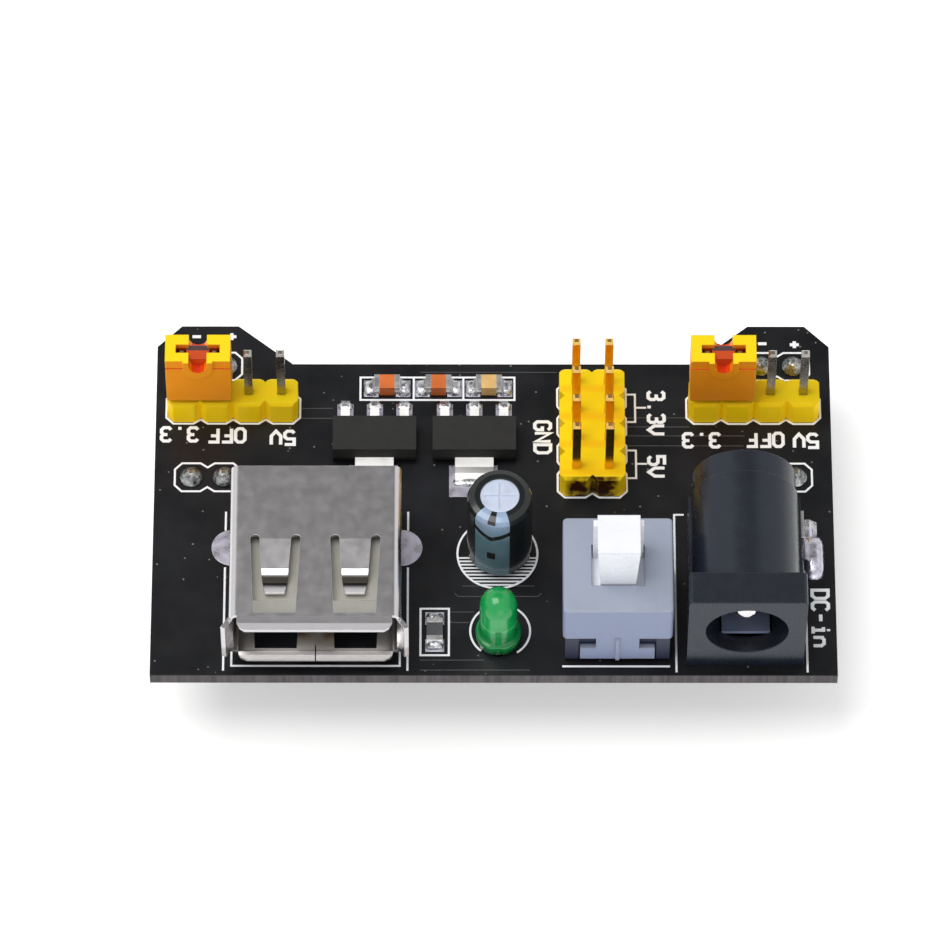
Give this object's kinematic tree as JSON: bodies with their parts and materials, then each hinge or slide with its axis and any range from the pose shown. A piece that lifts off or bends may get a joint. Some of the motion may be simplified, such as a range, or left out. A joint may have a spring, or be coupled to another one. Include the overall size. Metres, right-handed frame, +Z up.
{
  "type": "breadboard power supply module",
  "caption": "Small plug-in power board for a solderless breadboard, with a USB socket, a barrel jack, a push switch, yellow pin headers with jumper caps, and pins below for the rails.",
  "frame": {"origin": "centre of the rail pin pattern, on the seating faces of the four black pin carriers", "axes": "+Z up, away from the breadboard; +X to the right along the long side; +Y away from the USB socket and the DC jack"},
  "size_m": [0.0528, 0.0318, 0.0218],
  "materials": {
    "board": "black solder mask over glass epoxy, satin gloss",
    "tinned_steel": "tin or nickel plate with fine rolling marks",
    "white_insulator": "moulded white insulator",
    "gold_contact": "thin gold flash",
    "jack_plastic": "satin black moulding",
    "nickel_pin": "nickel plate",
    "tinned_brass": "tin plated brass",
    "switch_grey": "blue-grey moulding",
    "switch_dark": "dark slate moulding",
    "plunger_white": "white acetal",
    "spring_steel": "drawn spring wire",
    "can_aluminium": "plain drawn aluminium",
    "seal_rubber": "butyl seal",
    "sleeve_film": "shrunk film, black with a pale polarity stripe",
    "lens_green": "green diffused epoxy",
    "resistor_black": "black glass coat over ceramic",
    "tin_end": "tin plated end cap",
    "ceramic_rust": "fired ceramic, rust brown",
    "ceramic_tan": "fired ceramic, tan",
    "mould_black": "moulding compound, fine grain",
    "header_yellow": "moulded yellow insulator",
    "header_black": "moulded black insulator",
    "tin_pin": "tin plated square wire",
    "jumper_orange": "moulded yellow orange",
    "solder": "solder fillet"
  },
  "bodies": {
    "board": {"capacitor_can": "can_aluminium", "capacitor_leads": "tinned_brass", "capacitor_seal": "seal_rubber", "capacitor_sleeve": "sleeve_film", "chip_capacitor_ends": "tin_end", "chip_capacitor_left": "ceramic_rust", "chip_capacitor_middle": "ceramic_rust", "chip_capacitor_right": "ceramic_tan", "circuit_board": "board", "dc_jack_center_pin": "nickel_pin", "dc_jack_housing": "jack_plastic", "dc_jack_pin_terminal": "tinned_brass", "dc_jack_sleeve_contact": "tinned_brass", "dc_jack_switch_contact": "tinned_brass", "led_leads": "tinned_brass", "led_lens": "lens_green", "output_carrier": "header_yellow", "output_pins": "gold_contact", "rail_carrier_back_left": "header_black", "rail_carrier_back_right": "header_black", "rail_carrier_front_left": "header_black", "rail_carrier_front_right": "header_black", "rail_pins_back_left": "tin_pin", "rail_pins_back_right": "tin_pin", "rail_pins_front_left": "tin_pin", "rail_pins_front_right": "tin_pin", "regulator_left": "mould_black", "regulator_left_leads": "tinned_brass", "regulator_right": "mould_black", "regulator_right_leads": "tinned_brass", "resistor": "resistor_black", "resistor_ends": "tin_end", "selector_carrier_left": "header_yellow", "selector_carrier_right": "header_yellow", "selector_pins_left": "tin_pin", "selector_pins_right": "tin_pin", "solder_blades": "solder", "solder_header_pins": "solder", "solder_part_leads": "solder", "solder_rail_pins": "solder", "solder_surface_parts": "solder", "switch_base": "switch_dark", "switch_cover": "switch_grey", "switch_latch_pin": "spring_steel", "switch_spring": "spring_steel", "switch_terminals": "tinned_brass", "usb_contacts": "gold_contact", "usb_insulator": "white_insulator", "usb_shell": "tinned_steel"},
    "switch_button": {"switch_plunger": "plunger_white", "switch_bridges": "tinned_brass"},
    "left_jumper": {"jumper_cap_left": "jumper_orange", "jumper_clip_left": "tinned_brass"},
    "right_jumper": {"jumper_cap_right": "jumper_orange", "jumper_clip_right": "tinned_brass"}
  },
  "joints": [
    {"name": "switch_press", "type": "slide", "parent": "board", "child": "switch_button", "axis": [0, 0, -1], "range_m": [0, 0.002], "stiffness_N_per_m": 300, "springref_m": -0.002, "deforming": ["switch_spring"]},
    {"name": "left_jumper_pull", "type": "slide", "parent": "board", "child": "left_jumper", "axis": [0, 0, 1], "range_m": [0, 0.0077]},
    {"name": "right_jumper_pull", "type": "slide", "parent": "board", "child": "right_jumper", "axis": [0, 0, 1], "range_m": [0, 0.0077]}
  ]
}
